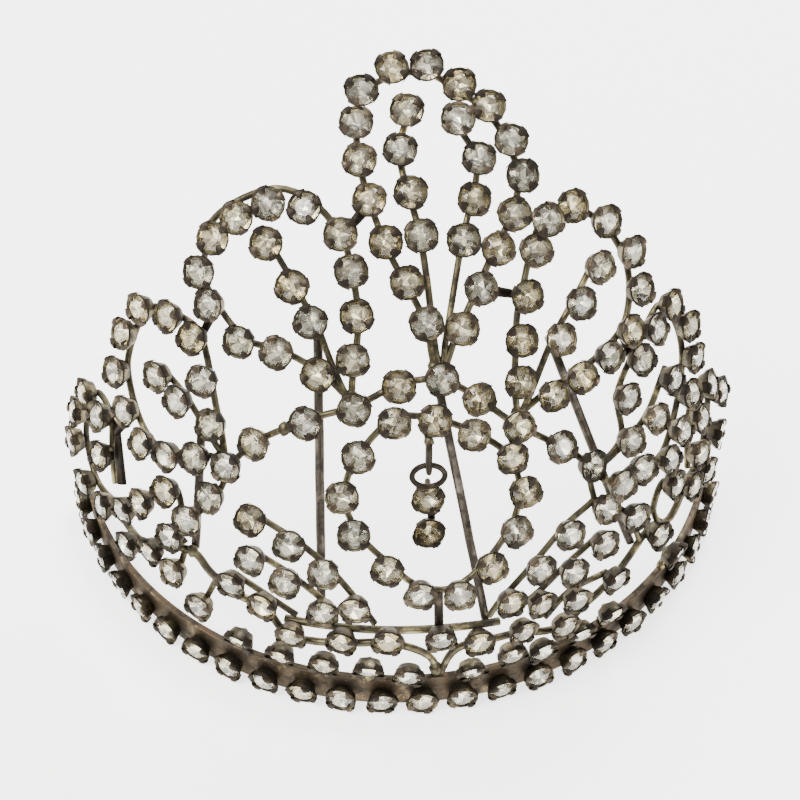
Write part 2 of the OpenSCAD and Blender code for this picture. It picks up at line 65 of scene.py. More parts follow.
# How far the picture's middle lies right of and above the half ring's middle.
FRAME_CENTRE = (1.1 * MM, 10.2 * MM)
RING_BACK = 41.3
FOCAL_PIXELS = 1599
PICTURE_PIXELS = 800
SENSOR_WIDTH = 36
CLIP_START = 10 * MM
FLOOR_SIZE = 4
FLOOR_COLOUR = (0.9, 0.895, 0.885, 1)
FLOOR_ROUGHNESS = 0.8
FLOOR_GLOW_COLOUR = (1, 0.995, 0.985, 1)
FLOOR_GLOW = 2.3
# The room is bright above and behind the table and dim on the camera's side.
ROOM_DIM = (0.14, 0.137, 0.132, 1)
ROOM_BRIGHT = (1.0, 1.0, 1.0, 1)
ROOM_STRENGTH = 2.1
ROOM_LEAN = (-0.25, 0.35, 0.9)
ROOM_RAMP = [(0.05, ROOM_DIM), (0.75, ROOM_BRIGHT)]
LIGHT_AIM = Vector((0, -30, 40)) * MM
# Each light: name, place in metres, size in metres, power in watts, colour.
LIGHTS = [
    ("key_panel", (-0.55, -0.25, 0.95), 0.55, 15, (1.0, 0.98, 0.94)),
    ("back_panel", (0.35, 0.75, 0.75), 0.5, 13, (0.97, 0.98, 1.0)),
    ("low_panel", (0.75, -0.55, 0.35), 0.35, 4, (1.0, 0.97, 0.93)),
]


def hang_light(name, place, size, power, colour):
    panel = bpy.data.lights.new(name, "AREA")
    panel.shape = "DISK"
    panel.size = size
    panel.energy = power
    panel.color = colour
    lamp = bpy.data.objects.new(name, panel)
    lamp.location = place
    lamp.rotation_euler = (LIGHT_AIM - Vector(place)).to_track_quat("-Z", "Y").to_euler()
    bpy.context.collection.objects.link(lamp)


for light in LIGHTS:
    hang_light(*light)

world = bpy.data.worlds.new("studio")
world.use_nodes = True
sky = world.node_tree
way = sky.nodes.new("ShaderNodeTexCoord")
climb = sky.nodes.new("ShaderNodeVectorMath")
climb.operation = "DOT_PRODUCT"
climb.inputs[1].default_value = ROOM_LEAN
room = sky.nodes.new("ShaderNodeValToRGB")
for stop, (position, colour) in zip(room.color_ramp.elements, ROOM_RAMP):
    stop.position = position
    stop.color = colour
sky.links.new(way.outputs["Generated"], climb.inputs[0])
sky.links.new(climb.outputs["Value"], room.inputs["Fac"])
sky.links.new(room.outputs["Color"], sky.nodes["Background"].inputs["Color"])
sky.nodes["Background"].inputs["Strength"].default_value = ROOM_STRENGTH
bpy.context.scene.world = world

floor_mesh = bmesh.new()
bmesh.ops.create_grid(floor_mesh, x_segments=1, y_segments=1, size=FLOOR_SIZE / 2)
floor_data = bpy.data.meshes.new("table_top")
floor_mesh.to_mesh(floor_data)
floor_mesh.free()
table_top = bpy.data.objects.new("table_top", floor_data)
bpy.context.collection.objects.link(table_top)
paper = bpy.data.materials.new("pale_paper")
paper.use_nodes = True
paper_inputs = paper.node_tree.nodes["Principled BSDF"].inputs
paper_inputs["Base Color"].default_value = FLOOR_COLOUR
paper_inputs["Roughness"].default_value = FLOOR_ROUGHNESS
paper_inputs["Emission Color"].default_value = FLOOR_GLOW_COLOUR
paper_inputs["Emission Strength"].default_value = FLOOR_GLOW
floor_data.materials.append(paper)
table_top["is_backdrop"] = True

camera_data = bpy.data.cameras.new("camera")
camera_data.sensor_width = SENSOR_WIDTH
camera_data.lens = SENSOR_WIDTH * FOCAL_PIXELS / PICTURE_PIXELS
camera_data.clip_start = CLIP_START
camera = bpy.data.objects.new("camera", camera_data)
right = Vector((math.cos(LOOK_TURN), -math.sin(LOOK_TURN), 0))
level = math.sin(LOOK_DOWN)
up = Vector((math.sin(LOOK_TURN) * level, math.cos(LOOK_TURN) * level, math.cos(LOOK_DOWN)))
back = right.cross(up)
lens_place = Vector((0, RING_BACK * MM, 0)) + right * FRAME_CENTRE[0] + up * FRAME_CENTRE[1]
lens_place += back * CAMERA_DISTANCE
facing = Matrix((right, up, back)).transposed().to_4x4()
camera.matrix_world = Matrix.Translation(lens_place) @ facing
bpy.context.collection.objects.link(camera)
bpy.context.scene.camera = camera


# Metal
# Wires, cups and strip are brass under an old brown tarnish. It has patches of black grime, and
# is thin and golden where it has been rubbed. The strip has rust stains as well.
class Value:
    """A number or colour in a material, so that plain sums add the nodes that work it out."""

    def __init__(self, finish, socket):
        self.finish = finish
        self.socket = socket

    def sum(self, operation, first, second):
        return self.finish.node("ShaderNodeMath", {"operation": operation}, {0: first, 1: second})

    def __add__(self, other):
        return self.sum("ADD", self, other)

    def __radd__(self, other):
        return self.sum("ADD", other, self)

    def __sub__(self, other):
        return self.sum("SUBTRACT", self, other)

    def __rsub__(self, other):
        return self.sum("SUBTRACT", other, self)

    def __mul__(self, other):
        return self.sum("MULTIPLY", self, other)

    def __rmul__(self, other):
        return self.sum("MULTIPLY", other, self)


class Finish:
    """A material under construction."""

    def __init__(self, name):
        self.material = bpy.data.materials.new(name)
        self.material.use_nodes = True
        self.nodes = self.material.node_tree.nodes
        self.links = self.material.node_tree.links
        self.shader = self.nodes["Principled BSDF"]

    def plug(self, socket, value):
        if isinstance(value, Value):
            self.links.new(value.socket, socket)
        else:
            socket.default_value = value

    def node(self, kind, settings=None, inputs=None, output=0):
        made = self.nodes.new(kind)
        for key, value in (settings or {}).items():
            if key == "stops":
                ramp = made.color_ramp
                while len(ramp.elements) < len(value):
                    ramp.elements.new(0.5)
                for element, (place, colour) in zip(ramp.elements, value):
                    element.position = place
                    element.color = colour
            else:
                setattr(made, key, value)
        for key, value in (inputs or {}).items():
            self.plug(made.inputs[key], value)
        return Value(self, made.outputs[output])

    def noise(self, scale, detail=4):
        place = self.node("ShaderNodeTexCoord", output="Object")
        inputs = {"Vector": place, "Scale": scale, "Detail": detail, "Roughness": NOISE_ROUGHNESS}
        return self.node("ShaderNodeTexNoise", {}, inputs)

    def between(self, value, low, high):
        """0 below low, 1 above high, and smooth between them."""
        return self.node(
            "ShaderNodeMapRange",
            {"interpolation_type": "SMOOTHSTEP"},
            {"Value": value, "From Min": low, "From Max": high},
        )

    def mix(self, share, first, second, blend="MIX"):
        settings = {"data_type": "RGBA", "blend_type": blend}
        return self.node("ShaderNodeMix", settings, {0: share, 6: first, 7: second}, output=2)

    def bump(self, height, strength, distance):
        inputs = {"Height": height, "Strength": strength, "Distance": distance}
        return self.node("ShaderNodeBump", {}, inputs)

    def paint(self, **sockets):
        for key, value in sockets.items():
            self.plug(self.shader.inputs[key.replace("_", " ").title()], value)
        return self.material


GOLD = (0.34, 0.235, 0.095, 1)
RUST = (0.12, 0.062, 0.029, 1)
# Painted shade: a dark tint on the reflections darkens the edges that turn away from shining.
PAINTED_EDGE_SHADE_TINT = (0.5, 0.47, 0.42, 1)
# Noise scales count the patches in a metre. Each band is the noise where a patch starts and
# where it is at its full strength.
NOISE_ROUGHNESS = 0.6
CLOUD_SCALE = 190
STAIN_SCALE = 240
GRIME_SCALE = 330
SPECK_SCALE = 1300
RUBBED_BAND = (0.46, 0.62)
GRIME_BAND = (0.47, 0.63)
STAIN_BAND = (0.5, 0.62)
AGE_SPREAD = 0.16
GRIME_COVER = 0.88
GOLD_COVER = 0.7
METAL_BUMP = 0.4
METAL_BUMP_DEPTH = 0.25 * MM


def tarnished(name, bright, dull, black, gold_share, roughness, rust_share=0.0):
    """Old brass: dull metal with bright rubbed patches, gold spots, rust stains and black grime."""
    finish = Finish(name)
    age = finish.node("ShaderNodeAttribute", {"attribute_name": "age"}, output=2)
    cloud = finish.noise(CLOUD_SCALE) + (age - 0.5) * AGE_SPREAD
    speck = finish.noise(SPECK_SCALE, detail=3)
    rubbed = finish.between(cloud, *RUBBED_BAND)
    grime = finish.between(finish.noise(GRIME_SCALE, detail=6), *GRIME_BAND)
    spots = finish.between(speck + cloud * 0.5, 0.92 - gold_share, 1.0 - gold_share)
    colour = finish.mix(rubbed, dull, bright)
    colour = finish.mix(spots * GOLD_COVER, colour, GOLD)
    if rust_share:
        stain = finish.between(finish.noise(STAIN_SCALE, detail=5), *STAIN_BAND)
        colour = finish.mix(stain * rust_share, colour, RUST)
    colour = finish.mix(grime * GRIME_COVER, colour, black)
    height = speck * 0.6 + grime * 0.4
    # Painted shade on the edges, made by darkening the reflections.
    finish.shader.inputs["Specular Tint"].default_value = PAINTED_EDGE_SHADE_TINT
    return finish.paint(
        base_color=colour,
        metallic=0.8 - grime * 0.4,
        roughness=roughness + grime * 0.2 - rubbed * 0.08,
        normal=finish.bump(height, METAL_BUMP, METAL_BUMP_DEPTH),
    )


# Each metal: its bright, dull and black colours.
BRASS = [(0.30, 0.258, 0.14, 1), (0.088, 0.076, 0.045, 1), (0.021, 0.017, 0.013, 1)]
OLIVE_BRASS = [(0.155, 0.134, 0.084, 1), (0.056, 0.048, 0.032, 1), (0.021, 0.017, 0.013, 1)]
DARK_BRASS = [(0.066, 0.052, 0.037, 1), (0.024, 0.019, 0.014, 1), (0.007, 0.005, 0.004, 1)]
STRIP_BRASS = [(0.17, 0.135, 0.086, 1), (0.068, 0.053, 0.036, 1), (0.023, 0.017, 0.012, 1)]
ROD_BRASS = [(0.19, 0.16, 0.13, 1), (0.085, 0.072, 0.058, 1), (0.024, 0.02, 0.017, 1)]
BLACK_BRASS = [(0.045, 0.036, 0.026, 1), (0.016, 0.012, 0.009, 1), (0.005, 0.004, 0.003, 1)]
wire_metal = tarnished("tarnished_wire", *BRASS, gold_share=0.07, roughness=0.40)
cup_metal = tarnished("olive_cup_brass", *OLIVE_BRASS, gold_share=0.03, roughness=0.40)
claw_metal = tarnished("dark_claw_brass", *DARK_BRASS, gold_share=0.0, roughness=0.44)
strip_metal = tarnished(
    "stained_strip", *STRIP_BRASS, gold_share=0.08, roughness=0.50, rust_share=0.22
)
rod_metal = tarnished("rod_wire", *ROD_BRASS, gold_share=0.0, roughness=0.36)
rim_metal = tarnished("black_rim", *BLACK_BRASS, gold_share=0.0, roughness=0.42)
METALS = [wire_metal, cup_metal, claw_metal, rim_metal]
WIRE, CUP, CLAW, RIM = range(len(METALS))


# Dome
# The faces of all the stones lie on one dome, upright at the base and leaning back above it.
# A place on it is an azimuth in degrees and a distance up in millimetres.
FACE_RADIUS = 79.5
LEAN_START = 21
LEAN_ANGLE = 31
LOWER_BEND = 54
STRAIGHT_RUN = 18
CAP_BEND = 145
CAP_SIDE = 50
SIDE_FADE = 0.55
# How far to each side of a place its direction is measured.
NEAR = 0.5


def dome(azimuth, up_dome):
    share = 1 - SIDE_FADE * (min(abs(azimuth), 90) / 90) ** 2
    lean, low, cap = math.radians(LEAN_ANGLE * share), LOWER_BEND / share, CAP_BEND / share
    bend_end = LEAN_START + LOWER_BEND * math.radians(LEAN_ANGLE)
    run = min(max(up_dome - bend_end, 0), STRAIGHT_RUN)
    turn = min(max(up_dome - LEAN_START, 0) / low, lean)
    over = max(up_dome - bend_end - STRAIGHT_RUN, 0) / cap
    radius = FACE_RADIUS - low * (1 - math.cos(turn)) - run * math.sin(lean)
    radius -= cap * (math.cos(lean) - math.cos(lean + over))
    height = min(up_dome, LEAN_START) + low * math.sin(turn) + run * math.cos(lean)
    height += cap * (math.sin(lean + over) - math.sin(lean))
    side = max(radius, CAP_SIDE)
    a = math.radians(azimuth)
    return Vector((side * math.sin(a), RING_BACK + side * (1 - math.cos(a)) - radius, height)) * MM


def outward(azimuth, up_dome):
    across = dome(azimuth + NEAR, up_dome) - dome(azimuth - NEAR, up_dome)
    along = dome(azimuth, up_dome + NEAR) - dome(azimuth, up_dome - NEAR)
    return across.cross(along).normalized()


def behind(azimuth, up_dome, depth):
    return dome(azimuth, up_dome) - outward(azimuth, up_dome) * depth * MM


# Strands
# Each strand is a bent wire with cups on it. Its table has rows of stone number, azimuth,
# distance up the dome, the wire's sideways shift and its lift off the dome. Other numbers lie
# smoothly between.
PEAK = [
    (-1, 6, 86), (0, 4.5, 95), (2, -4, 111), (4, -9, 127), (6, -8, 141), (7, -1, 146),
    (8, 7, 146), (9, 14, 141), (10, 20.5, 135.1), (11, 25.5, 127), (12, 28, 119.5),
    (13, 25.9, 112.6), (14, 21.5, 107), (16, 12.5, 93), (17, 8, 85),
]
PEAK_SPRAY_L = [
    (0, 2, 137), (1, 0, 129), (3, 4, 112), (6, 7, 86),
]
PEAK_SPRAY_R = [
    (0, 13, 132.7, 0, 4), (1, 17.5, 125, 0, 1), (3, 13.5, 110), (6, 8, 86),
]
LEAF_L1 = [
    (-1, -12, 80), (0, -12, 88), (1, -11, 96.4), (2, -12, 105), (3, -14, 112),
    (4, -22, 116, -2), (5, -31, 115, -3), (7, -48, 103, -3), (8, -51, 95, -1), (9, -46, 90),
    (10, -37, 86), (11, -28.5, 86.4), (12, -19, 84), (13, -13, 80),
]
LEAF_R1 = [
    (-1, 22, 73), (0, 23, 80), (2, 28.5, 96), (3, 31.2, 104), (4, 32.6, 109.2, 0, 4),
    (5, 42.1, 109), (6, 55, 101), (7, 58, 92), (8, 56, 84), (9, 50, 78), (12, 29, 75),
    (13, 23, 73),
]
LEAF_L1_SPRAY = [
    (0, -32, 107), (1, -26, 100), (2, -22, 94), (4, -13, 80),
]
LEAF_R1_SPRAY = [
    (0, 49, 94), (2, 34, 85), (4, 23, 73),
]
LEAF_L2 = [
    (-1, -35, 60), (0, -38, 67), (2, -47, 82), (3, -54, 83), (4, -61, 80), (5, -63, 72),
    (6, -62, 63), (8, -51, 54), (10, -39.5, 58.6), (11, -35, 60),
]
LEAF_L2_SPRAY = [
    (0, -52, 70), (1, -46, 68), (3, -35, 60),
]
LEAF_R2 = [
    (-1, 34, 54), (0, 42, 57), (1, 44, 66), (2, 50, 71), (3, 56, 74), (4, 62.4, 74.8),
    (5, 65.3, 66.5), (6, 64, 59), (8, 54, 49), (9, 49, 46), (10, 42.7, 49.5),
    (11, 35.6, 52.1, 0, 4), (12, 34, 54),
]
LEAF_R2_SPRAY = [
    (0, 56, 61), (1, 49, 57), (3, 35, 54),
]
LEAF_L3 = [
    (-1, -40, 41), (0, -43.5, 48), (1, -48, 41), (2, -52, 35), (3, -58, 29), (4, -66, 26),
    (5, -71, 33), (6, -71, 42), (7, -69, 50), (8, -63, 50), (9, -60, 42), (10, -58, 35),
]
LEAF_L3_STUB = [
    (0, -62, 52), (1, -56, 37),
]
LEAF_R3 = [
    (-2, 47, 27.5), (-1, 45.5, 34.5), (0, 49, 39), (1, 54, 33), (2, 60, 30), (3, 66, 34),
    (4, 70, 42), (5, 66, 49), (6, 60, 46), (7, 57.5, 38.5), (8, 57, 34),
]
GARLAND_L = [
    (0, 7, 84), (1, -2, 83), (2, -11, 78.2), (3, -20, 74), (4, -29, 67), (5, -33.3, 60.1),
    (6, -35, 52), (8, -41, 38), (9, -39.5, 35.5),
]
GARLAND_R = [
    (-1, 7, 84), (0, 14, 79), (1, 20.2, 72.1, 0, 2), (2, 28, 64), (3, 33, 57), (4, 33.5, 46.5),
    (5, 39, 40), (6, 41.5, 29),
]
RING = [
    (0, 5, 76), (1, -3, 76), (2, -9.5, 68.6), (3, -12, 60), (4, -9.6, 52.4), (5, -4, 45),
    (6, 1, 39), (7, 7, 38), (9, 17, 50), (10, 19.8, 57.7), (11, 18.5, 65.5), (12, 12, 72),
    (13, 5, 76),
]
FAN_L1 = [
    (0, -27, 51), (1, -20, 48), (2, -14, 43), (3, -9, 35), (4, -5.5, 26.5),
]
FAN_L2 = [
    (0, -26, 42), (1, -20, 39), (2, -14, 33), (3, -12, 26.5),
]
FAN_L3 = [
    (0, -29, 34), (1, -23.5, 31), (2, -17.5, 26.5),
]
FAN_R1 = [
    (-1, 33, 48), (0, 26, 45), (2, 15, 33), (3, 11.5, 26),
]
FAN_R2 = [
    (0, 32, 38.5), (1, 25.8, 35.2), (2, 20, 30), (3, 14.5, 25.5),
]
FAN_R3 = [
    (0, 34, 26), (1, 26.3, 26.5), (2, 21, 19),
]
SWAG_L = [
    (-2, 4, 9.6), (-1, 2, 17), (0, -4, 26, 2.8), (1, -11, 25, 2.8), (2, -19, 24, 2.8),
    (3, -24, 27), (4, -29, 28), (5, -34, 31), (6, -38, 34.5), (7, -45, 30), (8, -51, 25),
    (9, -57.5, 27.5),
]
SWAG_R = [
    (-2, 4.5, 9.6), (-1, 6.5, 17), (0, 10, 23, -2.8), (1, 17, 23, -2.8), (2, 24.5, 19, -2.8),
    (3, 30, 18.5), (4, 36, 22.5), (5, 44, 29.5), (6, 50.5, 25), (7, 56.5, 30.5),
]
TOP_BAR = [
    (0, -20.8, 24.9, 0, -0.3), (2, -11, 25.6, 0, -0.3), (5, 4, 25.5, 0, -0.3),
    (7, 14, 24.3, 0, -0.3),
]
CENTRE_STONE = (4, 26)
# Azimuth and height of each stone of the upper row.
UPPER_ROW = [
    (-28, 16), (-21, 15.5), (-14, 15.5), (-7, 15.5), (-0.8, 13.2), (9, 12.8), (15.5, 15.3),
    (20.8, 12.8), (28, 13), (34, 13.5), (50, 14.5),
]
# Azimuth and height of a stone that hangs below the swag, and of the foot of its stub.
HUNG = [
    (-35, 22, -33, 30), (-40, 28.5, -39.5, 33.5),
]
# Azimuth and height of each rod's foot, and of its top.
RODS = [
    (-38.5, 34, -43, 66), (-15, 26.4, -21.5, 92), (12, 24.4, 6.5, 84), (41, 27, 34, 85),
]


class Strand:
    """Places and directions along one bent wire."""

    def __init__(self, rows):
        self.rows = [list(row) + [0] * (5 - len(row)) for row in rows]

    def slope(self, i, column):
        before, after = self.rows[max(i - 1, 0)], self.rows[min(i + 1, len(self.rows) - 1)]
        return (after[column] - before[column]) / (after[0] - before[0])

    def value(self, t, column):
        i = 0
        while i < len(self.rows) - 2 and t > self.rows[i + 1][0]:
            i += 1
        first, second = self.rows[i], self.rows[i + 1]
        length = second[0] - first[0]
        u = (t - first[0]) / length
        ease = u * u * (3 - 2 * u)
        return (
            (1 - ease) * first[column]
            + ease * second[column]
            + (u ** 3 - 2 * u * u + u) * length * self.slope(i, column)
            + (u ** 3 - u * u) * length * self.slope(i + 1, column)
        )

    def face(self, t):
        return behind(self.value(t, 1), self.value(t, 2), -self.value(t, 4))

    def out(self, t):
        return outward(self.value(t, 1), self.value(t, 2))

    def wire(self, t):
        shift = self.value(t, 3)
        depth = WIRE_DEPTH - abs(shift) * SHIFT_RISE
        along = self.face(t + NEAR_STONE) - self.face(t - NEAR_STONE)
        side = self.out(t).cross(along).normalized()
        return self.face(t) + side * shift * MM - self.out(t) * depth * MM

    def route(self, start, end):
        count = round((end - start) * ROUTE_STEPS)
        return [self.wire(start + (end - start) * i / count) for i in range(count + 1)]

    def seat(self, t):
        return seat(self.face(t), self.out(t), t + len(self.rows))


# The wire runs behind the cups, a little nearer to the dome where it swings out sideways.
WIRE_DEPTH = 4.35
SHIFT_RISE = 0.36
ROUTE_STEPS = 5
NEAR_STONE = 0.2
# Each cup is turned and tipped about a point below its face. The sine of its number times a
# step spreads the angles unevenly.
SEAT_START = 45
SEAT_TURN = 18
SEAT_TIP = 6
SEAT_TIP_DEPTH = 1.7
TURN_STEP = 53
TIP_X_STEP = 137
TIP_Y_STEP = 71
TIP_Y_START = 40


def seat(place, out, number):
    """Where a cup and its stone sit. Each cup is tipped and turned a little, by its number."""
    side = Vector((0, 0, 1)).cross(out).normalized()
    matrix = Matrix.Translation(place - out * SEAT_TIP_DEPTH * MM)
    matrix @= Matrix((side, out.cross(side), out)).transposed().to_4x4()
    turn = SEAT_START + SEAT_TURN * math.sin(math.radians(number * TURN_STEP))
    tip_y = SEAT_TIP * math.sin(math.radians(number * TIP_Y_STEP + TIP_Y_START))
    tip_x = SEAT_TIP * math.sin(math.radians(number * TIP_X_STEP))
    for angle, axis in ((turn, "Z"), (tip_y, "Y"), (tip_x, "X")):
        matrix @= Matrix.Rotation(math.radians(angle), 4, axis)
    return matrix @ Matrix.Translation((0, 0, SEAT_TIP_DEPTH * MM))


# Cups
# A claw cup is a spun brass shell with four triangular claws that are bent in over the stone.
# A few differently bent ones are made once and used again along the strands.
CUP_KINDS = 7
CUP_SIDES = 16
CUP_WELD = 0.01
# Radius and height of the corners of the wall, from the middle of the back to inside the rim.
CUP_WALL = [
    (0.0, -4.2), (0.95, -3.7), (2.25, -3.4), (3.38, -0.95), (3.42, -0.6), (3.2, -0.6),
    (2.98, -1.15),
]
CUP_RIM_DEPTH = 0.8
CUP_BACK = 3.7
CLAWS = 4
CLAW_TURN = 7
CLAW_HALF_WIDTH = (1.0, 1.35)
CLAW_REACH = (1.6, 2.1)
CLAW_BOW = 0.24
CLAW_BOW_OUT = 0.3
CLAW_CURL = 0.06
dice = random.Random(7)


def add_mesh(mesh, data, matrix):
    """Adds a copy of a made shape at its place, with an age of its own for its colour."""
    start = len(mesh.verts)
    first_face = len(mesh.faces)
    mesh.from_mesh(data)
    mesh.verts.ensure_lookup_table()
    bmesh.ops.transform(mesh, matrix=matrix, verts=mesh.verts[start:])
    age = mesh.faces.layers.float["age"]
    years = dice.random()
    mesh.faces.ensure_lookup_table()
    for face in mesh.faces[first_face:]:
        face[age] = years


def cup_shape(kind):
    mesh = bmesh.new()
    points = [mesh.verts.new((radius * MM, 0, depth * MM)) for radius, depth in CUP_WALL]
    edges = [mesh.edges.new(pair) for pair in zip(points, points[1:])]
    bmesh.ops.spin(
        mesh,
        geom=points + edges,
        axis=(0, 0, 1),
        cent=(0, 0, 0),
        steps=CUP_SIDES,
        angle=math.tau,
        use_merge=True,
    )
    bmesh.ops.remove_doubles(mesh, verts=mesh.verts[:], dist=CUP_WELD * MM)
    for face in mesh.faces:
        face.smooth = True
        face.material_index = RIM if face.calc_center_median().z > -CUP_RIM_DEPTH * MM else CUP
    for claw in range(CLAWS):
        direction = math.radians(360 / CLAWS * claw + dice.uniform(-CLAW_TURN, CLAW_TURN))
        add_claw(mesh, direction, dice.uniform(*CLAW_HALF_WIDTH), dice.uniform(*CLAW_REACH))
    bmesh.ops.recalc_face_normals(mesh, faces=mesh.faces[:])
    data = bpy.data.meshes.new("cup_%d" % kind)
    mesh.to_mesh(data)
    mesh.free()
    return data


def coat(made, metal):
    """Gives the faces at these vertices their metal, and rounds off all but the flat ends."""
    for face in {face for vertex in made for face in vertex.link_faces}:
        face.smooth = len(face.verts) <= 4
        face.material_index = metal


def add_claw(mesh, direction, half_width, reach):
    """A triangular tongue: up the outside of the wall, over the edge and in to its point."""
    # Each row of corners: radius, height and half width.
    rows = [
        (3.1, -2.1, half_width),
        (3.55, -0.75, half_width * 1.05),
        (3.5, -0.35, half_width),
        (3.05, -0.16, half_width * 0.8),
        (reach + 0.3, -0.2, half_width * 0.4),
        (reach, -0.3, half_width * 0.12),
    ]
    made = bmesh.ops.create_grid(mesh, x_segments=2, y_segments=len(rows) - 1, size=1)["verts"]
    for vertex in made:
        radius, height, width = rows[round((vertex.co.y + 1) / 2 * (len(rows) - 1))]
        side = vertex.co.x * width
        bow = CLAW_BOW * (1 - vertex.co.x ** 2)
        radius = radius + bow * CLAW_BOW_OUT - CLAW_CURL * side * side
        vertex.co = Vector((radius * MM, side * MM, (height + bow) * MM))
    coat(made, CLAW)
    bmesh.ops.rotate(mesh, cent=(0, 0, 0), matrix=Matrix.Rotation(direction, 3, "Z"), verts=made)


cups = [cup_shape(kind) for kind in range(CUP_KINDS)]


# Wires
# Round brass wire, bent by hand along the strands, with lumps of solder where pieces meet.
WIRE_RADIUS = 0.72
SOLDER_RADIUS = 1.35
JOINT_SOLDER = SOLDER_RADIUS * 1.4
KNOT_SOLDER = SOLDER_RADIUS * 1.2
EYE_SOLDER = SOLDER_RADIUS * 0.8
SOLDER_UNEVEN = (0.88, 1.1)
SOLDER_FLAT = Matrix.Diagonal((1.0, 1.15, 0.85, 1))
TIE_RADIUS = 1.25
TIE_TAPER = 0.62
TIE_FLAT = Matrix.Diagonal((1.0, 0.6, 1.0, 1))
TIE_SIDES = 12


def add_wire(mesh, route, radius=WIRE_RADIUS, sides=2, closed=False, metal=WIRE):
    curve = bpy.data.curves.new("route", "CURVE")
    curve.dimensions = "3D"
    curve.bevel_depth = radius * MM
    curve.bevel_resolution = sides
    curve.use_fill_caps = not closed
    spline = curve.splines.new("POLY")
    spline.points.add(len(route) - 1)
    spline.use_cyclic_u = closed
    for point, place in zip(spline.points, route):
        point.co = (*place, 1)
    bent = bpy.data.objects.new("route", curve)
    data = bent.to_mesh()
    first_face = len(mesh.faces)
    mesh.from_mesh(data)
    mesh.faces.ensure_lookup_table()
    for face in mesh.faces[first_face:]:
        face.smooth = len(face.verts) == 4
        face.material_index = metal
    bpy.data.objects.remove(bent)
    bpy.data.curves.remove(curve)


def add_tie(mesh, first, second, out):
    """A short flattened bar, wide at its first end and dark with solder."""
    along = second - first
    made = bmesh.ops.create_cone(
        mesh,
        cap_ends=True,
        segments=TIE_SIDES,
        radius1=TIE_RADIUS * MM,
        radius2=TIE_RADIUS * TIE_TAPER * MM,
        depth=along.length,
        matrix=Matrix.Translation((0, 0, along.length / 2)),
    )["verts"]
    side = along.cross(out).normalized()
    along.normalize()
    facing = Matrix((side, along.cross(side), along)).transposed().to_4x4()
    bmesh.ops.transform(mesh, matrix=Matrix.Translation(first) @ facing @ TIE_FLAT, verts=made)
    coat(made, CLAW)


def add_solder(mesh, place, out, size=SOLDER_RADIUS):
    """A lump of solder: a squashed ball with an uneven surface."""
    made = bmesh.ops.create_icosphere(mesh, subdivisions=2, radius=size * MM)["verts"]
    for vertex in made:
        vertex.co *= dice.uniform(*SOLDER_UNEVEN)
    facing = out.to_track_quat("Z", "Y").to_matrix().to_4x4()
    bmesh.ops.transform(mesh, matrix=Matrix.Translation(place) @ facing @ SOLDER_FLAT, verts=made)
    coat(made, WIRE)


def show(mesh, name, body, slot, materials, *nodes):
    """Makes a piece of the tiara from a mesh, in place of the CAD nodes named."""
    data = bpy.data.meshes.new(name)
    mesh.to_mesh(data)
    mesh.free()
    for material in materials:
        data.materials.append(material)
    piece = bpy.data.objects.new(name, data)
    bpy.context.collection.objects.link(piece)
    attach(piece, body)
    if nodes:
        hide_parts(*nodes)


def new_mesh():
    mesh = bmesh.new()
    mesh.faces.layers.float.new("age")
    return mesh


def add_cups(mesh, seats):
    for place in seats:
        add_mesh(mesh, cups[dice.randrange(CUP_KINDS)], place)


# Stones
# Round cut glass with a dull foil behind it: a table and crown facets of clear glass, and
# foiled facets at the back, some painted paler and some darker at random: painted reflections and
# shade over the foil's own colour.
STONE_KINDS = 9
STONE_RADIUS = 2.96
STONE_SKEW = 0.34
STONE_START = 22.5
STONE_TURN = 6
# Each ring of corners, from the table back: radius, height, corners and turn in corners.
STONE_RINGS = [
    (1.72, -0.28, 8, 0), (2.4, -0.72, 8, 0.5), (STONE_RADIUS, -1.16, 16, 0),
    (STONE_RADIUS, -1.32, 16, 0), (1.6, -2.1, 8, 0.5), (0.6, -2.6, 8, 0),
]
FOIL_START = -1.2
SKEW_START = -2
SKEW_UPWARD = 0.4
# Each painted reflection tone of the foil, from dark shade to white highlight: the share of facets
# below it, and its colour.
FOIL_REFLECTION_TONES = [
    (0.0, (0.16, 0.14, 0.11, 1)),
    (0.12, (0.42, 0.39, 0.32, 1)),
    (0.4, (0.72, 0.70, 0.62, 1)),
    (0.75, (0.92, 0.895, 0.80, 1)),
    (0.9, (1.0, 0.985, 0.92, 1)),
]
YELLOW_FOIL = (1.0, 0.925, 0.72, 1)
YELLOW_BAND = (0.15, 0.95)
GRIMY_FOIL = (0.40, 0.36, 0.27, 1)
DIRT_SCALE = 420
DIRT_BAND = (0.42, 0.72)
DIRT_COVER = 0.36
GLASS_COLOUR = (0.97, 0.955, 0.87, 1)
GLASS_INDEX = 1.52
SCRATCH_SCALE = 900
SCRATCH_BUMP = 0.03
SCRATCH_DEPTH = 0.1 * MM
foil = Finish("foil_back_painted_reflections")
# Each back facet's random value picks its foil colour: painted reflections and shade.
shade = foil.node("ShaderNodeAttribute", {"attribute_name": "tone"}, output=2)
age = foil.node("ShaderNodeAttribute", {"attribute_name": "age"}, output=2)
dirt = foil.between(foil.noise(DIRT_SCALE, detail=2), *DIRT_BAND)
silver_and_painted_reflection = foil.node("ShaderNodeValToRGB", {"stops": FOIL_REFLECTION_TONES}, {0: shade})
yellowed = foil.mix(foil.between(age, *YELLOW_BAND), silver_and_painted_reflection, YELLOW_FOIL, "MULTIPLY")
dirtied = foil.mix(dirt * DIRT_COVER, yellowed, GRIMY_FOIL)
foil.paint(base_color=dirtied, metallic=0.92, roughness=0.24)

glass = Finish("clear_cut_glass")
glass.shader.inputs["IOR"].default_value = GLASS_INDEX
glass.paint(
    base_color=GLASS_COLOUR,
    roughness=0.03,
    transmission_weight=1.0,
    normal=glass.bump(glass.noise(SCRATCH_SCALE, detail=2), SCRATCH_BUMP, SCRATCH_DEPTH),
)
STONE_MATERIALS = [glass.material, foil.material]
GLASS, FOIL = range(len(STONE_MATERIALS))


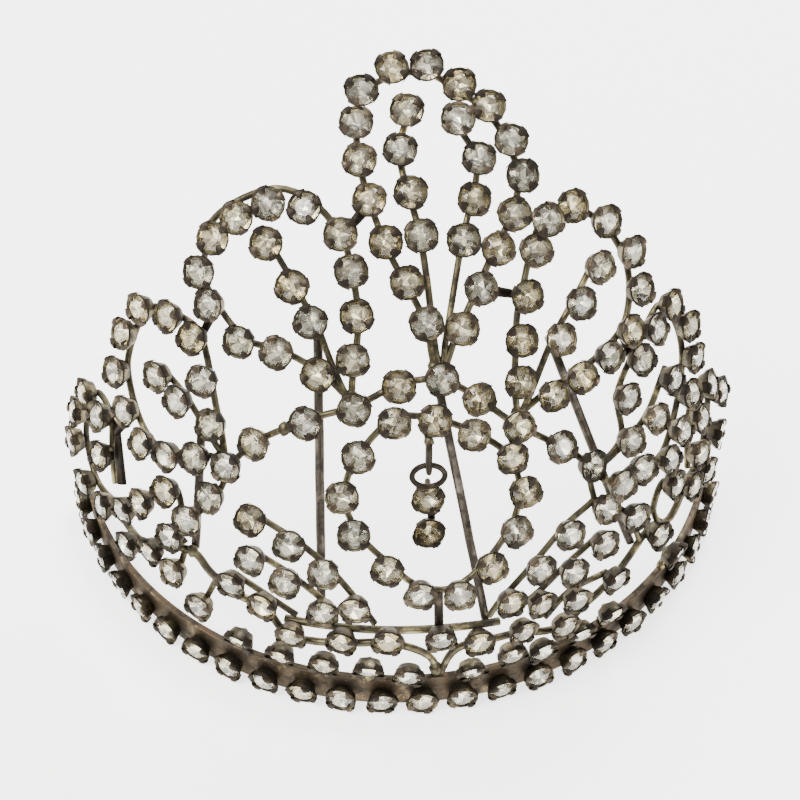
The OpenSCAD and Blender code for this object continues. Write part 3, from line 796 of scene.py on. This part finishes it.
def stone_shape(kind):
    """Eight-sided table, crown facets, girdle, and two rows of back facets to a small flat."""
    mesh = bmesh.new()
    tone = mesh.faces.layers.float.new("tone")
    for radius, height, corners, turn in STONE_RINGS:
        turned = Matrix.Rotation(math.tau / corners * turn, 4, "Z")
        matrix = Matrix.Translation((0, 0, height * MM)) @ turned
        bmesh.ops.create_circle(mesh, segments=corners, radius=radius * MM, matrix=matrix)
    limits = (1, 1, SKEW_UPWARD)
    for vertex in mesh.verts:
        if vertex.co.z < SKEW_START * MM:
            skew = Vector([dice.uniform(-limit, limit) for limit in limits])
            vertex.co += skew * STONE_SKEW * MM
    bmesh.ops.convex_hull(mesh, input=mesh.verts[:])
    flat = math.radians(1)
    bmesh.ops.dissolve_limit(mesh, angle_limit=flat, verts=mesh.verts[:], edges=mesh.edges[:])
    bmesh.ops.recalc_face_normals(mesh, faces=mesh.faces[:])
    for face in mesh.faces:
        face.material_index = GLASS if face.calc_center_median().z > FOIL_START * MM else FOIL
        # A random painted reflection level for each facet.
        face[tone] = dice.random()
    data = bpy.data.meshes.new("stone_%d" % kind)
    mesh.to_mesh(data)
    mesh.free()
    return data


stones = [stone_shape(kind) for kind in range(STONE_KINDS)]


def show_stones(name, body, seats):
    """Stones at these seats, in place of the CAD node of the same name."""
    mesh = new_mesh()
    mesh.faces.layers.float.new("tone")
    for place in seats:
        turn = math.radians(STONE_START + dice.uniform(-STONE_TURN, STONE_TURN))
        matrix = place @ Matrix.Rotation(turn, 4, "Z")
        add_mesh(mesh, stones[dice.randrange(STONE_KINDS)], matrix)
    show(mesh, name + "_cut", body, "stone", STONE_MATERIALS, name)


# Peak
# The pear-shaped loop of stones in the middle, with two short sprays inside it.
SPRAY_START = -0.3
peak, peak_spray_l, peak_spray_r = Strand(PEAK), Strand(PEAK_SPRAY_L), Strand(PEAK_SPRAY_R)
mesh = new_mesh()
add_wire(mesh, peak.route(-1, 17))
add_wire(mesh, peak_spray_l.route(SPRAY_START, 6))
add_wire(mesh, peak_spray_r.route(SPRAY_START, 6))
add_solder(mesh, peak.wire(-1), peak.out(0))
add_solder(mesh, peak.wire(17), peak.out(16))
loop_seats = [peak.seat(t) for t in range(17)]
spray_seats = [strand.seat(t) for strand in (peak_spray_l, peak_spray_r) for t in range(4)]
add_cups(mesh, loop_seats + spray_seats)
show(mesh, "peak_wires", "tiara", "wire", METALS, "peak")
show_stones("peak_stones", "tiara", loop_seats)
show_stones("peak_spray_stones", "tiara", spray_seats)


# Leaves
# Three loops of stones on each side. The upper two hold a short spray, and a short bar ties
# each loop but the lowest on the right to its neighbour.
def show_leaf(name, loop, count, spray=None, spray_count=0, spray_end=0, ties=()):
    """A loop with its spray, if it has one, and ties from its own wire to another."""
    mesh = new_mesh()
    add_wire(mesh, loop.route(loop.rows[0][0], count))
    add_solder(mesh, loop.wire(loop.rows[0][0]), loop.out(0))
    seats = [loop.seat(t) for t in range(count)]
    if spray:
        add_wire(mesh, spray.route(SPRAY_START, spray_end))
        seats += [spray.seat(t) for t in range(spray_count)]
    add_cups(mesh, seats)
    for own, other in ties:
        add_tie(mesh, other, own, loop.out(0))
    show(mesh, name + "_wires", "tiara", "wire", METALS, name)
    show_stones(name + "_stones", "tiara", seats)


leaf_l1, leaf_l2, leaf_l3, leaf_l3_stub = map(Strand, (LEAF_L1, LEAF_L2, LEAF_L3, LEAF_L3_STUB))
leaf_r1, leaf_r2, leaf_r3 = map(Strand, (LEAF_R1, LEAF_R2, LEAF_R3))
show_leaf("leaf_l1", leaf_l1, 13, Strand(LEAF_L1_SPRAY), 3, 4, [(leaf_l1.wire(3), peak.wire(3))])
show_leaf("leaf_r1", leaf_r1, 13, Strand(LEAF_R1_SPRAY), 3, 4, [(leaf_r1.wire(2), peak.wire(15))])
show_leaf("leaf_l2", leaf_l2, 11, Strand(LEAF_L2_SPRAY), 2, 3, [(leaf_l2.wire(2), leaf_l1.wire(9))])
show_leaf("leaf_r2", leaf_r2, 12, Strand(LEAF_R2_SPRAY), 2, 3, [(leaf_r2.wire(2), leaf_r1.wire(9))])
stub = [(leaf_l3_stub.wire(0), leaf_l3_stub.wire(1)), (leaf_l3_stub.wire(0.3), leaf_l2.wire(7))]
show_leaf("leaf_l3", leaf_l3, 10, ties=stub)
show_leaf("leaf_r3", leaf_r3, 8)


# Garland
# The chain of stones from the joint below the peak down to both sides.
garland_l, garland_r = Strand(GARLAND_L), Strand(GARLAND_R)
mesh = new_mesh()
add_wire(mesh, garland_l.route(-0.4, 9))
add_wire(mesh, garland_r.route(-1, 6))
add_solder(mesh, garland_l.wire(0), garland_l.out(0), JOINT_SOLDER)
add_solder(mesh, garland_l.wire(3.5), garland_l.out(3.5))
seats = [garland_l.seat(t) for t in range(9)] + [garland_r.seat(t) for t in range(6)]
add_cups(mesh, seats)
show(mesh, "garland_wires", "tiara", "wire", METALS, "garland")
show_stones("garland_stones", "tiara", seats)


# Fans
# Short rows of stones between the centre ring and the ends of the garland.
# Each row: name, table, number of stones, and the stone numbers where its wire starts and ends.
FANS = {
    "left": [
        ("fan_l1", FAN_L1, 4, 0, 3.8),
        ("fan_l2", FAN_L2, 3, 0, 2.8),
        ("fan_l3", FAN_L3, 2, 0, 1.8),
    ],
    "right": [
        ("fan_r1", FAN_R1, 3, -1, 2.8),
        ("fan_r2", FAN_R2, 3, 0, 2.8),
        ("fan_r3", FAN_R3, 2, 0, 1.8),
    ],
}
for side, rows in FANS.items():
    fan_seats = []
    for name, table, count, start, end in rows:
        strand = Strand(table)
        seats = [strand.seat(t) for t in range(count)]
        mesh = new_mesh()
        add_wire(mesh, strand.route(start, end))
        add_cups(mesh, seats)
        show(mesh, name + "_wires", "tiara", "wire", METALS, name)
        fan_seats += seats
    show_stones("fan_%s_stones" % side, "tiara", fan_seats)


# Centre ring
# A closed ring of stones, with a tie down to the bar and a wire eye for the drop.
THIN_RADIUS = 0.6
EYE_RADIUS = 1.5
EYE_HEIGHT = 5.5
EYE_STEPS = 24
STOUTER = 0.25
TIE_FOOT = CENTRE_STONE[1] + 1.4
PIVOT = Vector((3.7, RING_BACK - 59, 59)) * MM
ring = Strand(RING)
mesh = new_mesh()
add_wire(mesh, ring.route(0, 13)[:-1], closed=True)
tie_foot = behind(CENTRE_STONE[0], TIE_FOOT, WIRE_DEPTH)
add_wire(mesh, [ring.wire(6.5), tie_foot], WIRE_RADIUS + STOUTER, metal=CLAW)
eye_route = []
for i in range(EYE_STEPS):
    a = math.tau * (i + 0.5) / EYE_STEPS
    rise = EYE_HEIGHT if math.sin(a) > 0 else 0
    bend = Vector((0, EYE_RADIUS * math.cos(a), rise + EYE_RADIUS * math.sin(a)))
    eye_route.append(PIVOT + bend * MM)
add_wire(mesh, eye_route, THIN_RADIUS, closed=True, metal=CLAW)
eye_top = PIVOT + Vector((0, 0, EYE_HEIGHT + EYE_RADIUS)) * MM
add_wire(mesh, [eye_top, ring.wire(0.2)], THIN_RADIUS + STOUTER, metal=CLAW)
add_solder(mesh, eye_top, ring.out(0), EYE_SOLDER)
seats = [ring.seat(t) for t in range(13)]
add_cups(mesh, seats)
show(mesh, "centre_ring_wires", "tiara", "wire", METALS, "centre_ring")
show_stones("centre_ring_stones", "tiara", seats)


# Drop
# A jump ring that hangs in the eye, and two stones on a strip below it.
JUMP_RADIUS = 3.3
JUMP_STEPS = 32
RIM_RADIUS = 3.4
DROP_LEAN = math.radians(20)
DROP_PITCH = 8.1
DROP_NUMBER = 5
DROP_FORWARD = 1.1
DROP_STRIP_ASIDE = 0.8
DROP_STRIP_RADIUS = 0.82
DROP_STRIP_PAST = 1
EDGE_BACK = 2.4
EDGE_UP = 3.5
look = Vector((0, -math.cos(DROP_LEAN), math.sin(DROP_LEAN)))
down = Vector((0, -math.sin(DROP_LEAN), -math.cos(DROP_LEAN)))
drop_top = PIVOT + Vector((0, -DROP_FORWARD, -2 * JUMP_RADIUS - RIM_RADIUS)) * MM
mesh = new_mesh()
jump_route = []
for i in range(JUMP_STEPS):
    a = math.tau * i / JUMP_STEPS
    jump_route.append(PIVOT + Vector((math.cos(a), 0, math.sin(a) - 1)) * JUMP_RADIUS * MM)
add_wire(mesh, jump_route, THIN_RADIUS, closed=True, metal=CLAW)
jump_foot = PIVOT - Vector((0, 0, 2 * JUMP_RADIUS)) * MM
cup_edge = drop_top - look * EDGE_BACK * MM - down * EDGE_UP * MM
add_wire(mesh, [jump_foot, cup_edge], THIN_RADIUS, metal=CLAW)
strip_top = drop_top + Vector((DROP_STRIP_ASIDE, 0, 0)) * MM - look * CUP_BACK * MM
strip_ends = [
    strip_top - down * DROP_STRIP_PAST * MM,
    strip_top + down * (DROP_PITCH + DROP_STRIP_PAST) * MM,
]
add_wire(mesh, strip_ends, DROP_STRIP_RADIUS, metal=CLAW)
seats = [seat(drop_top + down * DROP_PITCH * i * MM, look, i + DROP_NUMBER) for i in range(2)]
add_cups(mesh, seats)
show(mesh, "drop_wires", "drop", "wire", METALS, "drop")
show_stones("drop_stones", "drop", seats)


# Top bar
# A bare wire across the middle, with the centre stone on it.
BAR_RADIUS = 0.88
CENTRE_NUMBER = 3
top_bar = Strand(TOP_BAR)
mesh = new_mesh()
add_wire(mesh, top_bar.route(0, 7), BAR_RADIUS)
centre_seat = seat(dome(*CENTRE_STONE), outward(*CENTRE_STONE), CENTRE_NUMBER)
add_cups(mesh, [centre_seat])
show(mesh, "top_bar_wires", "tiara", "wire", METALS, "top_bar")
show_stones("top_bar_stone", "tiara", [centre_seat])


# Swag
# Two wires that rise from a knot on the strip and carry the second row of stones.
SWAG_RADIUS = 0.85
swag_l, swag_r = Strand(SWAG_L), Strand(SWAG_R)
mesh = new_mesh()
add_wire(mesh, swag_l.route(-1.9, 9), SWAG_RADIUS)
add_wire(mesh, swag_r.route(-1.9, 7), SWAG_RADIUS)
add_solder(mesh, swag_l.wire(-1.8), swag_l.out(-1.8), KNOT_SOLDER)
add_solder(mesh, swag_l.wire(6), swag_l.out(6))
for azimuth, height, foot, foot_height in HUNG:
    add_wire(mesh, [behind(azimuth, height, CUP_BACK), behind(foot, foot_height, WIRE_DEPTH)])
seats = [swag_l.seat(t) for t in (0, 1, 2, 7, 8)] + [swag_r.seat(t) for t in (0, 1, 2, 5)]
seats += [seat(dome(a, height), outward(a, height), a) for a, height, _, _ in HUNG]
add_cups(mesh, seats)
show(mesh, "swag_wires", "tiara", "wire", METALS, "swag")
show_stones("swag_stones", "tiara", seats)


# Base strip
# A flat strip bent to a half ring, with a row of cups on its front and more cups on short
# posts along its upper edge. It stands on its lower edge.
STRIP_RADIUS = 76.3
STRIP_HEIGHT = 9.2
STRIP_THICK = 1.4
STRIP_CORNER = 0.25
STRIP_LEFT = -79
STRIP_RIGHT = 75
ROW_COUNT = 24
ROW_PITCH = 6.42
ROW_FIRST = -75.7
ROW_HEIGHT = 3.6
STRIP_STEPS = 110
UPPER_TIP = 0.22
POST_INSET = 1.5
POST_OVER = 0.5
POST_SOLDER = 1.4
mesh = new_mesh()
profile = bmesh.ops.create_grid(mesh, x_segments=1, y_segments=1, size=0.5)["verts"]
for vertex in profile:
    x, y = vertex.co.x, vertex.co.y
    radius = STRIP_RADIUS + (x - 0.5) * STRIP_THICK
    vertex.co = Vector((0, RING_BACK - radius, (y + 0.5) * STRIP_HEIGHT)) * MM
bmesh.ops.bevel(
    mesh, geom=profile, offset=STRIP_CORNER * MM, segments=2, profile=0.5, affect="VERTICES"
)
middle = Vector((0, RING_BACK, 0)) * MM
left_end = Matrix.Rotation(math.radians(STRIP_LEFT), 3, "Z")
sweep = math.radians(STRIP_RIGHT - STRIP_LEFT)
bmesh.ops.rotate(mesh, cent=middle, matrix=left_end, verts=mesh.verts[:])
bmesh.ops.spin(
    mesh, geom=mesh.faces[:], axis=(0, 0, 1), cent=middle, steps=STRIP_STEPS, angle=sweep
)
bmesh.ops.recalc_face_normals(mesh, faces=mesh.faces[:])
show(mesh, "base_strip", "tiara", "strip", [strip_metal], "base_band")

mesh = new_mesh()
row_a_seats = []
for i in range(ROW_COUNT):
    a = ROW_FIRST + ROW_PITCH * i
    row_a_seats.append(seat(dome(a, ROW_HEIGHT), outward(a, ROW_HEIGHT), i))
upper_seats = []
reach = (STRIP_RADIUS - STRIP_THICK / 2) * MM
rise = (STRIP_HEIGHT - POST_INSET) * MM
for a, height in UPPER_ROW:
    out = (outward(a, height) - Vector((0, 0, UPPER_TIP))).normalized()
    upper_seats.append(seat(dome(a, height), out, a))
    around = math.radians(a)
    foot = middle + Vector((reach * math.sin(around), -reach * math.cos(around), rise))
    add_wire(mesh, [foot, behind(a, height + POST_OVER, CUP_BACK)])
    add_solder(mesh, foot + Vector((0, 0, POST_SOLDER)) * MM, out)
add_cups(mesh, row_a_seats + upper_seats)
show(mesh, "row_cups", "tiara", "wire", METALS)
show_stones("row_a_stones", "tiara", row_a_seats)
show_stones("upper_row_stones", "tiara", upper_seats)


# Rods
# Four straight wires at the back, a little uneven along their length.
ROD_DEPTH = 6.2
ROD_RADIUS = 0.95
ROD_STEPS = 12
ROD_WANDER = 0.06
for i, (foot_azimuth, foot_height, top_azimuth, top_height) in enumerate(RODS, 1):
    foot = behind(foot_azimuth, foot_height, ROD_DEPTH)
    top = behind(top_azimuth, top_height, ROD_DEPTH)
    route = []
    for step in range(ROD_STEPS + 1):
        wander = Vector((dice.uniform(-1, 1), dice.uniform(-1, 1), 0)) * ROD_WANDER * MM
        route.append(foot.lerp(top, step / ROD_STEPS) + wander)
    mesh = new_mesh()
    add_wire(mesh, route, ROD_RADIUS, sides=3)
    name = "rod_%d" % i
    show(mesh, name + "_wire", "tiara", "rod", [rod_metal], name)


size = [[round(value, 5) for value in corner] for box in (cad_box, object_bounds()) for corner in box]
